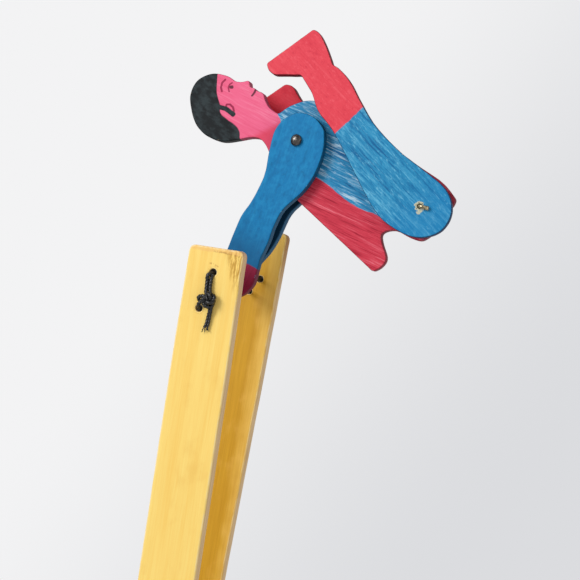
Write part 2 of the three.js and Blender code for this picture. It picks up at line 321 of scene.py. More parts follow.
def fine_board(node, name, step=0.8 * MM, rim=0.45 * MM, wander=0.03 * MM, grid=1.7 * MM, seed=1):
    """A sawn board made again from its CAD node, with rounded edges and slightly uneven faces.
    Its attribute wall is 0 on both faces and 1 on the sawn edge; front is 1 on the front, 0 on the back."""
    chance = np.random.default_rng(seed)
    rough = bmesh.new()
    rough.from_mesh(frame["nodes"][node].data)
    bmesh.ops.remove_doubles(rough, verts=rough.verts, dist=1e-6)
    rough.normal_update()
    largest = max(rough.faces, key=lambda face: face.calc_area() if face.normal.y < -0.9 else 0)
    normal = largest.normal.copy()
    corner = largest.verts[0].co.copy()
    right = Vector((1, 0, 0))
    top = normal.cross(right).normalized()
    face_on = {face for face in rough.faces
               if all(abs((v.co - corner).dot(normal)) < 0.005 * MM for v in face.verts)}
    loops = outline_loops(rough, face_on, corner, right, top)
    thick = max((corner - v.co).dot(normal) for v in rough.verts)
    rough.free()

    outer = max(range(len(loops)), key=lambda i: abs(area_inside(loops[i])))
    edges = []
    for i, loop in enumerate(loops):
        loop = loop if (area_inside(loop) > 0) == (i == outer) else loop[::-1]
        even = even_steps(loop, step)
        edges.append(hand_sawn(even, chance, wander) if i == outer else even)

    bend = [math.radians(a) for a in (0, 22, 45, 68, 90)]
    walls = max(1, int(round((thick - 2 * rim) / (0.9 * MM))))
    rings = [(2 * rim, 0.0, 0.0), (1.35 * rim, 0.0, 0.0)]
    rings += [(rim * (1 - math.sin(a)), rim * (1 - math.cos(a)), math.sin(a)) for a in bend]
    rings += [(0.0, rim + (thick - 2 * rim) * k / walls, 1.0) for k in range(1, walls)]
    rings += [(inset, thick - depth, wall) for inset, depth, wall in rings[: len(bend) + 2][::-1]]

    points, wall_share, front_share, faces = [], [], [], []

    def add(flat, depth, wall):
        start = len(points)
        for u, v in flat:
            points.append(corner + right * u + top * v - normal * depth)
        wall_share.extend([wall] * len(flat))
        front_share.extend([1 - depth / thick] * len(flat))
        return start

    inner = [[], []]
    for i, edge in enumerate(edges):
        small = rim if i == outer else rim * 0.5
        starts = []
        for inset, depth, wall in rings:
            scale = small / rim
            deep = depth * scale if depth < thick / 2 else thick - (thick - depth) * scale
            starts.append(add(edge - outward(edge) * inset * scale, deep, wall))
        n = len(edge)
        for a, b in zip(starts, starts[1:]):
            faces += [(a + k, b + k, b + (k + 1) % n, a + (k + 1) % n) for k in range(n)]
        inner[0].append(starts[0])
        inner[1].append(starts[-1])

    lips = [edge - outward(edge) * 2 * (rim if i == outer else rim * 0.5) for i, edge in enumerate(edges)]
    low, high = edges[outer].min(axis=0), edges[outer].max(axis=0)
    us, vs = np.meshgrid(np.arange(low[0], high[0], grid), np.arange(low[1], high[1], grid))
    inside = np.stack([us.ravel(), vs.ravel()], axis=1)
    inside += chance.uniform(-0.3, 0.3, inside.shape) * grid
    every_lip = np.vstack(lips)
    near = np.array([np.min(np.sum((every_lip - p) ** 2, axis=1)) for p in inside])
    inside = inside[near > (0.55 * grid) ** 2]
    a, b = lips[outer], np.roll(lips[outer], -1, axis=0)
    crossing = (a[:, 1] > inside[:, 1:2]) != (b[:, 1] > inside[:, 1:2])
    with np.errstate(divide="ignore", invalid="ignore"):
        at = a[:, 0] + (inside[:, 1:2] - a[:, 1]) * (b[:, 0] - a[:, 0]) / (b[:, 1] - a[:, 1])
    inside = inside[np.sum(crossing & (at > inside[:, :1]), axis=1) % 2 == 1]
    hollow = [(lip.mean(axis=0), np.linalg.norm(lip - lip.mean(axis=0), axis=1).mean())
              for i, lip in enumerate(lips) if i != outer]
    for centre, radius in hollow:
        inside = inside[np.linalg.norm(inside - centre, axis=1) > radius]

    lines, count = [], 0
    for lip in lips:
        lines += [(count + k, count + (k + 1) % len(lip)) for k in range(len(lip))]
        count += len(lip)
    flat = [Vector(p) for p in np.vstack([every_lip, inside])]
    placed, _, triangles, came_from, _, _ = delaunay_2d_cdt(flat, lines, [], 1, 1e-9)
    triangles = [t for t in triangles
                 if all((sum((placed[k] for k in t), Vector((0, 0))) / 3 - Vector(c)).length > r * 0.97
                        for c, r in hollow)]
    waves = chance.uniform(0, 6.28, 4)
    for side in (0, 1):
        index = {}
        for k, origins in enumerate(came_from):
            if origins and origins[0] < len(every_lip):
                which, offset = 0, origins[0]
                while offset >= len(lips[which]):
                    offset -= len(lips[which])
                    which += 1
                index[k] = inner[side][which] + offset
            else:
                u, v = placed[k] / MM
                lift = math.sin(u * 0.31 + waves[side]) + math.sin(v * 0.17 + u * 0.11 + waves[side + 2])
                depth = 0.025 * MM * (2 + lift)
                index[k] = add([placed[k]], thick - depth if side else depth, 0.0)
        for t in triangles:
            corners = [index[k] for k in t]
            faces.append(tuple(corners[::-1] if side else corners))

    mesh = bpy.data.meshes.new(name)
    mesh.from_pydata(points, [], faces)
    for label, share in (("wall", wall_share), ("front", front_share)):
        mesh.attributes.new(label, "FLOAT", "POINT").data.foreach_set("value", share)
    mesh.shade_smooth()
    mesh.validate()
    piece = bpy.data.objects.new(name, mesh)
    bpy.context.scene.collection.objects.link(piece)
    return piece


def stroke(finish, x, z, points, width):
    """How much of a drawn pen or brush line through the points covers a spot."""
    cover = None
    for (ax, az), (bx, bz) in zip(points, points[1:]):
        dx, dz = bx - ax, bz - az
        length2 = dx * dx + dz * dz
        share = ((x - ax) * dx + (z - az) * dz) / length2
        share = share.most(0.0).least(1.0)
        away = ((x - ax - share * dx) ** 2.0 + (z - az - share * dz) ** 2.0) ** 0.5
        cover = away if cover is None else cover.least(away)
    return 1 - finish.between(cover, width / 2 - 0.14, width / 2 + 0.14)


def varnished_wood():
    """Golden varnish over pale pine: pale worn edges, and a painted shade on the inner faces, deepest
    towards the middle and lighter towards the edge on +x.
    """
    wood = Finish("golden_varnish")
    spot = wood.upright((0, 0, 0))
    fine = wood.noise(spot, (2.6, 2.6, 0.035), detail=4, rough=0.65)
    broad = wood.noise(spot, (0.35, 0.35, 0.012), detail=2, warp=0.6)
    blotch = wood.noise(spot, (0.16, 0.16, 0.1), detail=3)
    wall = wood.node("ShaderNodeAttribute", {"attribute_name": "wall"}, output="Fac")
    front = wood.node("ShaderNodeAttribute", {"attribute_name": "front"}, output="Fac")
    x, y, z = (wood.node("ShaderNodeSeparateXYZ", None, {0: spot}, output=axis) for axis in "XYZ")
    back_one = wood.between(y, -1.0, 1.0)
    inner = wood.mix(back_one, 1 - front, front)
    grain = fine * 0.55 + broad * 0.45
    outer_face = wood.mix(wood.between(grain, 0.3, 0.72), srgb(255, 222, 124), srgb(250, 206, 102))
    # The inner faces, which face the other stick, carry a painted shade: deepest towards the middle and
    # lighter towards the edge on +x.
    painted_shade = wood.mix(wood.between(grain, 0.3, 0.7), srgb(216, 164, 34), srgb(196, 142, 16))
    painted_half_shade = wood.mix(wood.between(grain, 0.3, 0.7), srgb(244, 202, 96), srgb(230, 180, 74))
    inner_face_painted_shade = wood.mix(wood.between(x + (blotch - 0.5) * 5, 3.0, 9.0), painted_shade, painted_half_shade)
    varnish = wood.mix(wood.between(inner, 0.25, 0.75), outer_face, inner_face_painted_shade)
    varnish = wood.mix(wood.between(blotch, 0.55, 0.75) * 0.3, varnish, srgb(236, 184, 84))
    runs = wood.between(wood.noise(spot, (1.5, 1.5, 0.16), detail=4, rough=0.7), 0.44, 0.56)
    corner = wood.between(x + (z - 203) * 0.3, 4.4, 7.0) * wood.between(z, 194.0, 202.0) * (1 - back_one)
    varnish = wood.mix(corner * runs * 0.85, varnish, srgb(190, 138, 34))
    crown = wood.between(z + (blotch - 0.5) * 1.5, 208.4, 208.9) * (1 - back_one)
    varnish = wood.mix(crown * 0.55, varnish, srgb(244, 190, 112))
    ragged = wood.noise(spot, (0.7, 0.7, 0.7), detail=4) - 0.5
    burr = stroke(wood, x, z + ragged * 1.4, [(-0.5, 208.9), (5.0, 208.7), (9.2, 208.2)], 0.55)
    scratch = stroke(wood, x, z + ragged * 1.2, [(-1.6, 204.6), (-0.2, 204.5), (1.5, 203.9)], 0.45)
    varnish = wood.mix(burr.most(scratch) * (1 - back_one) * runs * 0.6, varnish, srgb(176, 120, 48))
    worn = wall * (1 - wall) * 4 * wood.between(wood.noise(spot, (0.9, 0.9, 0.2)), 0.3, 0.6)
    varnish = wood.mix(worn * 0.6, varnish, srgb(252, 232, 184))
    edge = wood.mix(wood.between(fine, 0.4, 0.62), srgb(240, 208, 164), srgb(214, 170, 110))
    edge = wood.mix(wood.between(z, 196, 219) * back_one, edge, srgb(176, 116, 54))
    varnish = wood.mix(wood.between(wall, 0.85, 1.0) * 0.85, varnish, edge)
    wood.feed(Base_Color=varnish, Roughness=0.42 + fine * 0.2)
    wood.shader.inputs["Specular IOR Level"].default_value = 0.35
    wood.feed(Normal=wood.bump(fine * 0.7 + blotch * 0.3, 0.06 * MM, 0.6))
    return wood.material


golden = varnished_wood()
for node, body, seed in (("front_stick", "front_side", 3), ("back_stick", "back_side", 8)):
    stick = fine_board(node, node + "_lath", step=1.0 * MM, rim=0.6 * MM, wander=0.035 * MM, grid=2.4 * MM,
                       seed=seed)
    stick.data.materials.append(golden)
    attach(stick, body)
    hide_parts(node)


# ---- crossbar ----
# A block of the same softwood across the lower part, drilled through its length for the nails.
# It keeps the sticks apart and is what they rock on.
def raw_pine():
    """Pine left bare: pale, with growth lines along the block and darker sawn ends."""
    pine = Finish("raw_pine")
    spot = pine.upright((0, 0, 0))
    lines = pine.noise(spot, (0.9, 0.03, 0.9), detail=4, rough=0.6, warp=0.4)
    ends = pine.noise(spot, (3, 3, 3), detail=4)
    wall = pine.node("ShaderNodeAttribute", {"attribute_name": "wall"}, output="Fac")
    along = pine.mix(pine.between(lines, 0.38, 0.62), srgb(240, 208, 142), srgb(214, 168, 92))
    across_grain = pine.mix(pine.between(ends, 0.35, 0.65), srgb(222, 180, 108), srgb(186, 138, 72))
    pine.feed(Base_Color=pine.mix(wall, across_grain, along), Roughness=0.6 + ends * 0.2)
    pine.feed(Normal=pine.bump(lines * 0.5 + ends * 0.5, 0.1 * MM, 0.6))
    return pine.material


crossbar = fine_board("crossbar", "crossbar_block", step=0.9 * MM, rim=0.7 * MM, wander=0.02 * MM, seed=5)
crossbar.data.materials.append(raw_pine())
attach(crossbar, "frame")
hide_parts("crossbar")


# ---- nails ----
# One round steel wire nail through each stick into the end of the crossbar, driven until the stick
# still rocks freely. The heads are struck flat and slightly off round.
def turned(name, profile, axis_at, side, segments=48, dents=0.0, seed=0):
    """A piece of revolution about Y through axis_at, from (radius, distance along side * Y) in mm."""
    chance = np.random.default_rng(seed)
    shape = bmesh.new()
    rings = []
    phases = chance.uniform(0, 6.28, 3)
    for radius, along in profile:
        if radius == 0:
            rings.append([shape.verts.new((0, along * side * MM, 0))])
            continue
        ring = []
        for k in range(segments):
            turn = 2 * math.pi * k / segments
            uneven = 1 + dents * (math.sin(2 * turn + phases[0]) + 0.5 * math.sin(3 * turn + phases[1]))
            reach = radius * MM * uneven
            spot = (reach * math.cos(turn), along * side * MM, reach * math.sin(turn))
            ring.append(shape.verts.new(spot))
        rings.append(ring)
    for a, b in zip(rings, rings[1:]):
        for k in range(segments):
            m = (k + 1) % segments
            corners = [a[k % len(a)], a[m % len(a)], b[m % len(b)], b[k % len(b)]]
            shape.faces.new(list(dict.fromkeys(corners)))
    bmesh.ops.recalc_face_normals(shape, faces=shape.faces)
    bmesh.ops.translate(shape, verts=shape.verts, vec=axis_at)
    mesh = bpy.data.meshes.new(name)
    shape.to_mesh(mesh)
    shape.free()
    mesh.shade_smooth()
    piece = bpy.data.objects.new(name, mesh)
    bpy.context.scene.collection.objects.link(piece)
    return piece


def tarnished_steel(name, bright, dark):
    """Drawn steel wire gone dull, with brown-grey tarnish in patches and fine scratches."""
    steel = Finish(name)
    spot = steel.upright((0, 0, 0))
    patches = steel.noise(spot, (1.1, 1.1, 1.1), detail=5, rough=0.6)
    scratches = steel.noise(spot, (9, 1.2, 5), detail=3)
    tarnish = steel.between(patches, 0.42, 0.62)
    steel.feed(Base_Color=steel.mix(tarnish, bright, dark), Metallic=1 - tarnish * 0.35)
    steel.feed(Roughness=0.22 + tarnish * 0.3 + scratches * 0.12)
    steel.feed(Normal=steel.bump(patches * 0.6 + scratches * 0.4, 0.08 * MM, 0.7))
    return steel.material


bright_steel = tarnished_steel("nail_steel", srgb(190, 186, 176), srgb(120, 104, 84))
for node, name, side in (("front_nail", "front_wire_nail", -1), ("back_nail", "back_wire_nail", 1)):
    low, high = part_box(node)
    head = max(side * low.y, side * high.y) / MM
    shank, flare, under = 0.9, 2.5, head - 1.2
    point = [(0, -14.9), (0.45, -14.0), (shank, -12.6), (shank, -1.2), (shank, -0.4), (shank + 0.25, -0.1)]
    cap = [(flare - 0.35, 0), (flare, 0.2), (flare, 0.5), (flare - 0.2, 0.72), (1.5, 1.0), (0.7, 1.12),
           (0, 1.15)]
    profile = [(radius, under + along) for radius, along in point + cap]
    nail = turned(name, profile, (0, 0, (low.z + high.z) / 2), side, dents=0.012, seed=4 + side)
    nail.data.materials.append(bright_steel)
    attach(nail, "frame")
    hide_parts(node)


# ---- body ----
# Head, trunk and coat tail sawn from one thin board and brushed with water-based paint along the grain,
# so that the blue and the red are streaked; the sawn edge is darker than the faces, partly in darker paint
# and partly as a painted shade.
def brushed(finish, spot, pale, plain, deep, strength=1.0, lean=0.0):
    """Paint laid on in long strokes up and down the board: pale and deep streaks over a plain colour."""
    slanted = finish.node("ShaderNodeMapping", None, {"Vector": spot, "Rotation": (0, lean, 0)})
    wide = finish.noise(slanted, (0.42, 0.42, 0.03), detail=3, rough=0.6, warp=0.5)
    fine = finish.noise(slanted, (2.0, 2.0, 0.1), detail=4, rough=0.7)
    mottle = finish.noise(spot, (0.25, 0.25, 0.16), detail=3)
    light = finish.between(wide * 0.5 + fine * 0.5, 0.5, 0.68) * strength
    dark = finish.between(wide * 0.4 + fine * 0.6, 0.5, 0.34) * strength
    colour = finish.mix(mottle, plain, finish.mix(0.5, plain, deep))
    colour = finish.mix(light, colour, pale)
    return finish.mix(dark, colour, deep), wide * 0.35 + fine * 0.65


def dry_brush(finish, spot, colour, pale, deep, grain, share):
    """Short pale flecks where a nearly dry brush has skipped, and deep ones where the paint has pooled."""
    skips = finish.noise(spot, grain, detail=5, rough=0.72, warp=0.3)
    colour = finish.mix(finish.between(skips, 0.52, 0.68) * share, colour, pale)
    return finish.mix(finish.between(skips, 0.46, 0.34) * share, colour, deep)


def edge_and_wear(finish, spot, colour, edge, bare, wear=0.5):
    """The sawn edge darker than the faces, partly its darker paint and partly a painted shade, and bare wood
    showing in flecks along the corners.
    """
    wall = finish.node("ShaderNodeAttribute", {"attribute_name": "wall"}, output="Fac")
    ragged = finish.noise(spot, (1.6, 1.6, 1.6), detail=3)
    colour = finish.mix(finish.between(wall + (ragged - 0.5) * 0.5, 0.35, 0.8), colour, edge)
    corner = wall * (1 - wall) * 4
    flecks = finish.between(finish.noise(spot, (0.8, 0.8, 0.5), detail=5, rough=0.7), 0.6, 0.66)
    return finish.mix(corner * flecks * wear, colour, bare)


def body_paint():
    paint = Finish("body_paint")
    turn = math.radians(-70)
    spot = paint.upright(pivot["shoulder"], turn)
    ragged = paint.noise(spot, (0.5, 0.5, 0.5), detail=3) - 0.5
    split = [paint.node("ShaderNodeSeparateXYZ", None, {0: spot}, output=axis) for axis in "XZ"]
    x, z = (axis + ragged * 0.5 for axis in split)

    skin, skin_lines = brushed(
        paint, spot, srgb(252, 146, 174), srgb(244, 108, 146), srgb(224, 74, 112), 0.7
    )
    redder = paint.between(-1.0 * (x + 1.0) * 0.6 - (z - 13.5) * 0.8, -0.5, 2.2)
    skin = paint.mix(redder * 0.8, skin, srgb(226, 62, 90))
    suit, suit_lines = brushed(
        paint, spot, srgb(176, 222, 242), srgb(42, 148, 196), srgb(0, 88, 142), 1.1, lean=0.05
    )
    suit = dry_brush(paint, spot, suit, srgb(208, 234, 246), srgb(0, 74, 126), (0.9, 0.9, 0.1), 0.7)
    tail, tail_lines = brushed(
        paint, spot, srgb(242, 124, 138), srgb(220, 62, 82), srgb(158, 18, 44), 1.1, lean=0.06
    )
    collar = paint.curve(x, [(-8.4, 8.3), (-4.1, 8.6), (-1.4, 8.3), (0.8, 8.9), (3.7, 10.0), (5.6, 12.2),
                             (14, 13)])
    colour = paint.mix(paint.between(collar - z, -0.2, 0.2), skin, suit)
    seam = paint.curve(z, [(-60, -9.0), (-35.4, -9.5), (-29.3, -10.2), (-21.9, -9.4), (-13, -8.0), (0, -7.4),
                           (9, -8.6)])
    tail_share = paint.between(seam - x, -0.2, 0.2) * paint.between(collar - 1 - z, -0.2, 0.2)
    colour = paint.mix(tail_share, colour, tail)
    trunks = paint.between(-44.0 - z + x * 0.25, -0.25, 0.25) * paint.between(x - seam, -0.3, 0.3)
    colour = paint.mix(trunks, colour, paint.mix(0.55, tail, srgb(110, 24, 36)))

    ink = srgb(150, 22, 66)
    brow = stroke(paint, x, z, [(2.9, 34.4), (4.0, 35.4), (5.6, 35.8), (7.1, 35.3)], 0.75)
    lid = stroke(paint, x, z, [(4.0, 31.9), (5.1, 32.9), (6.4, 33.0), (7.2, 32.4)], 0.5)
    eye = stroke(paint, x, z, [(5.7, 32.2), (5.9, 31.8)], 1.2)
    mouth = stroke(paint, x, z, [(9.4, 23.4), (7.9, 23.3), (6.6, 23.6)], 0.8)
    ear = stroke(paint, x, z, [(-1.7, 30.2), (-0.4, 30.5), (0.2, 29.3), (-0.2, 27.9), (-1.2, 26.9)], 0.75)
    drawn = brow.most(lid).most(eye).most(mouth).most(ear)
    colour = paint.mix(drawn * 0.92, colour, paint.mix(mouth.most(eye), ink, srgb(84, 34, 48)))

    hairline = paint.curve(z, [(16, -13.0), (20.1, -8.7), (21.7, -6.5), (24.4, -5.3), (27.9, -4.9),
                               (31.2, -3.9), (32.4, -1.9), (34.4, 0.1), (35.8, 1.6), (37.2, 4.0),
                               (38.6, 7.0), (41, 12), (47, 13)])
    whiskers = stroke(paint, x, z, [(-2.4, 33.0), (-1.9, 30.0), (-2.3, 26.6)], 1.7)
    hair_share = paint.between(hairline - x, -0.25, 0.25).most(whiskers)
    dabs = paint.noise(spot, (0.6, 0.6, 0.35), detail=4, rough=0.65)
    hair = paint.mix(paint.between(dabs, 0.38, 0.66), srgb(6, 14, 18), srgb(40, 51, 54))
    colour = paint.mix(hair_share, colour, hair)

    # The sawn edge in darker colours: partly dark paint and partly a painted shade.
    edge = paint.mix(0.62, colour, srgb(96, 10, 34))
    suit_share = paint.between(collar - z, -0.2, 0.2) * (1 - tail_share) * (1 - trunks)
    edge = paint.mix(suit_share, edge, srgb(14, 62, 118))
    edge = paint.mix(hair_share, edge, srgb(20, 24, 27))
    colour = edge_and_wear(paint, spot, colour, edge, srgb(232, 200, 150), 0.35)
    lines = paint.mix(paint.between(collar - z, -0.2, 0.2), skin_lines, suit_lines)
    height = lines * (1 - hair_share * 0.7) + dabs * hair_share * 0.5 + tail_lines * tail_share * 0.3
    paint.feed(Base_Color=colour, Roughness=0.5 + lines * 0.12)
    paint.shader.inputs["Specular IOR Level"].default_value = 0.2
    paint.feed(Normal=paint.bump(height, 0.12 * MM, 0.7))
    return paint.material


body = fine_board("body", "body_board", step=0.6 * MM, rim=0.4 * MM, grid=1.5 * MM, seed=11)
body.data.materials.append(body_paint())
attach(body, "trunk")
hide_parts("body")


# ---- arms ----
# Two thinner boards, one on each side of the body, in a smoother coat of a stronger blue with the
# hands in maroon. Both hands are threaded on the two strands of cord.
def arm_paint():
    paint = Finish("arm_paint")
    spot = paint.upright(pivot["shoulder"], math.radians(15.3))
    ragged = paint.noise(spot, (0.5, 0.5, 0.5), detail=3) - 0.5
    x, z = (paint.node("ShaderNodeSeparateXYZ", None, {0: spot}, output=axis) for axis in "XZ")
    sleeve, lines = brushed(paint, spot, srgb(40, 154, 204), srgb(0, 124, 182), srgb(0, 90, 144), 0.35, 0.1)
    clouds = paint.noise(spot, (0.5, 0.5, 0.35), detail=4, rough=0.65)
    sleeve = paint.mix(paint.between(clouds, 0.42, 0.7) * 0.55, sleeve, srgb(26, 142, 196))
    sleeve = paint.mix(paint.between(clouds, 0.46, 0.3) * 0.6, sleeve, srgb(0, 100, 148))
    stipple = paint.noise(spot, (2.2, 2.2, 2.2), detail=4, rough=0.7)
    sleeve = paint.mix(paint.between(stipple, 0.55, 0.75) * 0.4, sleeve, srgb(50, 148, 192))
    # The sleeve darkens towards the hand: a painted shade where the sticks shade the lower arm.
    sleeve = paint.mix(paint.between(z, -30.0, -44.0) * 0.7, sleeve, srgb(4, 86, 136))
    cuff = -45.6 - x * 0.1 + ragged * 0.8
    glove, _ = brushed(paint, spot, srgb(176, 52, 92), srgb(150, 32, 70), srgb(112, 16, 44), 0.7)
    hand = paint.between(cuff - z, -0.25, 0.25)
    colour = paint.mix(hand, sleeve, glove)
    # The sawn edge in darker colours: partly dark paint and partly a painted shade.
    edge = paint.mix(hand, srgb(6, 84, 120), srgb(112, 24, 48))
    # Each arm's inner face, towards the other arm, is painted dark: a painted shade between the arms.
    front = paint.node("ShaderNodeAttribute", {"attribute_name": "front"}, output="Fac")
    y = paint.node("ShaderNodeSeparateXYZ", None, {0: spot}, output="Y")
    inner = paint.mix(paint.between(y, -1.0, 1.0), 1 - front, front)
    painted_shade = paint.mix(hand, srgb(0, 46, 72), srgb(90, 14, 36))
    colour = paint.mix(paint.between(inner, 0.3, 0.7), colour, painted_shade)
    colour = edge_and_wear(paint, spot, colour, edge, srgb(120, 186, 220), 0.8)
    paint.feed(Base_Color=colour, Roughness=0.46 + stipple * 0.15)
    paint.shader.inputs["Specular IOR Level"].default_value = 0.2
    paint.feed(Normal=paint.bump(lines * 0.5 + stipple * 0.5, 0.08 * MM, 0.6))
    return paint.material


smooth_blue = arm_paint()
for node, name, body_name, seed in (("front_arm", "front_arm_board", "near_arm", 21),
                                    ("back_arm", "back_arm_board", "far_arm", 22)):
    arm = fine_board(node, name, step=0.6 * MM, rim=0.4 * MM, grid=1.5 * MM, seed=seed)
    arm.data.materials.append(smooth_blue)
    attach(arm, body_name)
    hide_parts(node)


# ---- legs ----
# A leg on each side of the body on one wire through the hip, each sawn by eye, blue above and with a
# red boot. The back leg leans out on its loose pin, so that it passes outside the arm.
def leg_paint(name, turn, lean, seed):
    paint = Finish(name)
    spot = paint.upright(pivot["near_hip"], turn)
    aside = (seed * 17.0, 0, seed * 5.0)
    shifted = paint.node("ShaderNodeVectorMath", {"operation": "ADD"}, {0: spot, 1: aside})
    ragged = paint.noise(shifted, (0.45, 0.45, 0.45), detail=3) - 0.5
    x, z = (paint.node("ShaderNodeSeparateXYZ", None, {0: spot}, output=axis) for axis in "XZ")
    blue, lines = brushed(
        paint, shifted, srgb(104, 186, 218), srgb(44, 150, 196), srgb(0, 92, 146), 1.0, lean
    )
    blue = dry_brush(paint, shifted, blue, srgb(116, 192, 222), srgb(4, 102, 156), (1.5, 1.5, 0.4), 0.7)
    red, red_lines = brushed(
        paint, shifted, srgb(246, 106, 116), srgb(236, 74, 88), srgb(206, 42, 62), 0.35, lean
    )
    blue = paint.mix(paint.between(z, -10.0, 4.0) * 0.45, blue, srgb(10, 124, 184))
    red = dry_brush(paint, shifted, red, srgb(244, 100, 112), srgb(204, 44, 66), (0.8, 0.8, 0.5), 0.5)
    # The back leg's boot is a deeper red: a painted shade, as the far boot lies behind the body.
    red = paint.mix(0.45 * (seed - 1), red, srgb(196, 0, 40))
    boot = paint.between(-38.4 + x * 0.05 + ragged * 1.2 - z, -0.25, 0.25)
    colour = paint.mix(boot, blue, red)
    # The sawn edge in darker colours: partly dark paint and partly a painted shade.
    edge = paint.mix(boot, srgb(6, 50, 92), srgb(112, 24, 34))
    colour = edge_and_wear(paint, shifted, colour, edge, srgb(226, 196, 150), 0.4)
    pin_away = paint.node("ShaderNodeVectorMath", {"operation": "LENGTH"},
                          {0: paint.stretch(spot, (1, 0, 1))}, output="Value")
    chips = paint.noise(shifted, (1.3, 1.3, 1.3), detail=4, rough=0.7)
    beside = stroke(paint, x, z, [(-0.2, 1.2), (1.5, 1.3)], 1.6)
    beside = beside * paint.between(chips, 0.4, 0.5)
    chipped = paint.between(chips * 2.2 + 0.5 - pin_away, -0.15, 0.15).most(beside)
    colour = paint.mix(chipped * 0.9, colour, srgb(208, 204, 170))
    paint.feed(Base_Color=colour, Roughness=0.5 + lines * 0.12)
    paint.shader.inputs["Specular IOR Level"].default_value = 0.2
    paint.feed(Normal=paint.bump(paint.mix(boot, lines, red_lines), 0.12 * MM, 0.7))
    return paint.material


for node, name, body_name, turn, seed in (("front_leg", "front_leg_board", "near_leg", -228, 31),
                                          ("back_leg", "back_leg_board", "far_leg", -244.5, 32)):
    leg = fine_board(node, name, step=0.6 * MM, rim=0.4 * MM, grid=1.5 * MM, seed=seed)
    leg.data.materials.append(leg_paint(name + "_paint", math.radians(turn), 0.08, seed - 30))
    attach(leg, body_name)
    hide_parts(node)


# ---- shoulder pin ----
# A short steel pin with a domed head in front, through both arms and the body, hammered over behind
# just enough to stay in. The blows have left the head uneven.
dark_steel = tarnished_steel("pin_steel", srgb(104, 100, 96), srgb(34, 32, 32))
face, tip, axis_at = 6.4, 7.3, (pivot["shoulder"].x, 0, pivot["shoulder"].z)
riveted = [(0, -0.05), (0.7, 0), (1.2, 0.3), (1.3, 0.75), (0.6, 0.85)]
dome = [(0.6, 0), (1.75, 0), (2.0, 0.2), (2.0, 0.5), (1.75, 0.9), (1.3, 1.2), (0.7, 1.4), (0, 1.46)]
profile = [(radius, along - tip) for radius, along in riveted]
profile += [(radius, along + face) for radius, along in dome]
shoulder_pin = turned("shoulder_rivet", profile, axis_at, -1, dents=0.03, seed=9)
shoulder_pin.data.materials.append(dark_steel)
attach(shoulder_pin, "trunk")
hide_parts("shoulder_pin")


# ---- cord ----
# One length of black waxed cord, laid up of three strands and about 210 mm long. It goes through both
# hands and all four stick holes, and its ends are tied off on the front stick.
CORD = 1.4 * MM
OUTER_FACE = 24.55                # the front stick's outer face, level with the knot
UPPER, LOWER = (0.0, 202.0), (-3.0, 189.5)
BACK_UPPER, BACK_LOWER = (3.1, 202.2), (-0.4, 197.3)
HAND_UPPER, HAND_LOWER = (2.79, 202.89), (1.21, 197.11)
AT_STICK, AT_HAND = 17, 8.6       # how far from the middle a free span starts and ends
FILLING, THIN_TAIL, FIBRE = 1.62, 0.74, 0.2     # in a hole, a tail and a fray, as shares of the thickness


def laid_cord_tree():
    """Sweeps three strands, twisted together, along the object's curves."""
    tree = bpy.data.node_groups.new("laid_cord", "GeometryNodeTree")
    face = tree.interface
    face.new_socket("Geometry", in_out="INPUT", socket_type="NodeSocketGeometry")
    sizes = (("Diameter", CORD), ("Turn Length", 3.4 * MM), ("Strand Depth", 0.11), ("Step", 0.32 * MM))
    for label, value in sizes:
        face.new_socket(label, in_out="INPUT", socket_type="NodeSocketFloat").default_value = value
    face.new_socket("Material", in_out="INPUT", socket_type="NodeSocketMaterial")
    face.new_socket("Geometry", in_out="OUTPUT", socket_type="NodeSocketGeometry")
    nodes = tree.nodes

    def node(kind, settings=None, inputs=None):
        made = nodes.new(kind)
        for key, value in (settings or {}).items():
            setattr(made, key, value)
        for key, value in (inputs or {}).items():
            if isinstance(value, bpy.types.NodeSocket):
                tree.links.new(value, made.inputs[key])
            else:
                made.inputs[key].default_value = value
        return made.outputs

    def math_node(operation, *values):
        return node("ShaderNodeMath", {"operation": operation}, dict(enumerate(values)))[0]

    given = nodes.new("NodeGroupInput").outputs
    path = node("GeometryNodeResampleCurve", {"mode": "LENGTH"},
                {"Curve": given[0], "Length": given["Step"]})[0]
    spline = node("GeometryNodeSplineParameter")
    twist = math_node("MULTIPLY", math_node("DIVIDE", spline["Length"], given["Turn Length"]), 2 * math.pi)
    path = node("GeometryNodeSetCurveTilt", None, {"Curve": path, "Tilt": twist})[0]
    ring = node("GeometryNodeCurvePrimitiveCircle", {"mode": "RADIUS"}, {"Resolution": 18})["Curve"]
    ring_spline = node("GeometryNodeSplineParameter")
    lobes = math_node("COSINE", math_node("MULTIPLY", ring_spline["Factor"], 6 * math.pi))
    size = math_node("MULTIPLY_ADD", lobes, given["Strand Depth"], 1.0)
    radius = math_node("MULTIPLY", math_node("MULTIPLY", given["Diameter"], 0.5 / 1.1), size)
    spot = node("GeometryNodeInputPosition")[0]
    spot = node("ShaderNodeVectorMath", {"operation": "SCALE"}, {0: spot, "Scale": radius})[0]
    ring = node("GeometryNodeSetPosition", None, {"Geometry": ring, "Position": spot})[0]
    thin = node("GeometryNodeInputRadius")[0]
    swept = node("GeometryNodeCurveToMesh", None,
                 {"Curve": path, "Profile Curve": ring, "Scale": thin, "Fill Caps": True})[0]
    smooth = node("GeometryNodeSetShadeSmooth", None, {"Geometry": swept})[0]
    whole = node("GeometryNodeRealizeInstances", None, {"Geometry": smooth})[0]
    ended = node("GeometryNodeSetMaterial", None, {"Geometry": whole, "Material": given["Material"]})[0]
    tree.links.new(ended, nodes.new("NodeGroupOutput").inputs[0])
    return tree


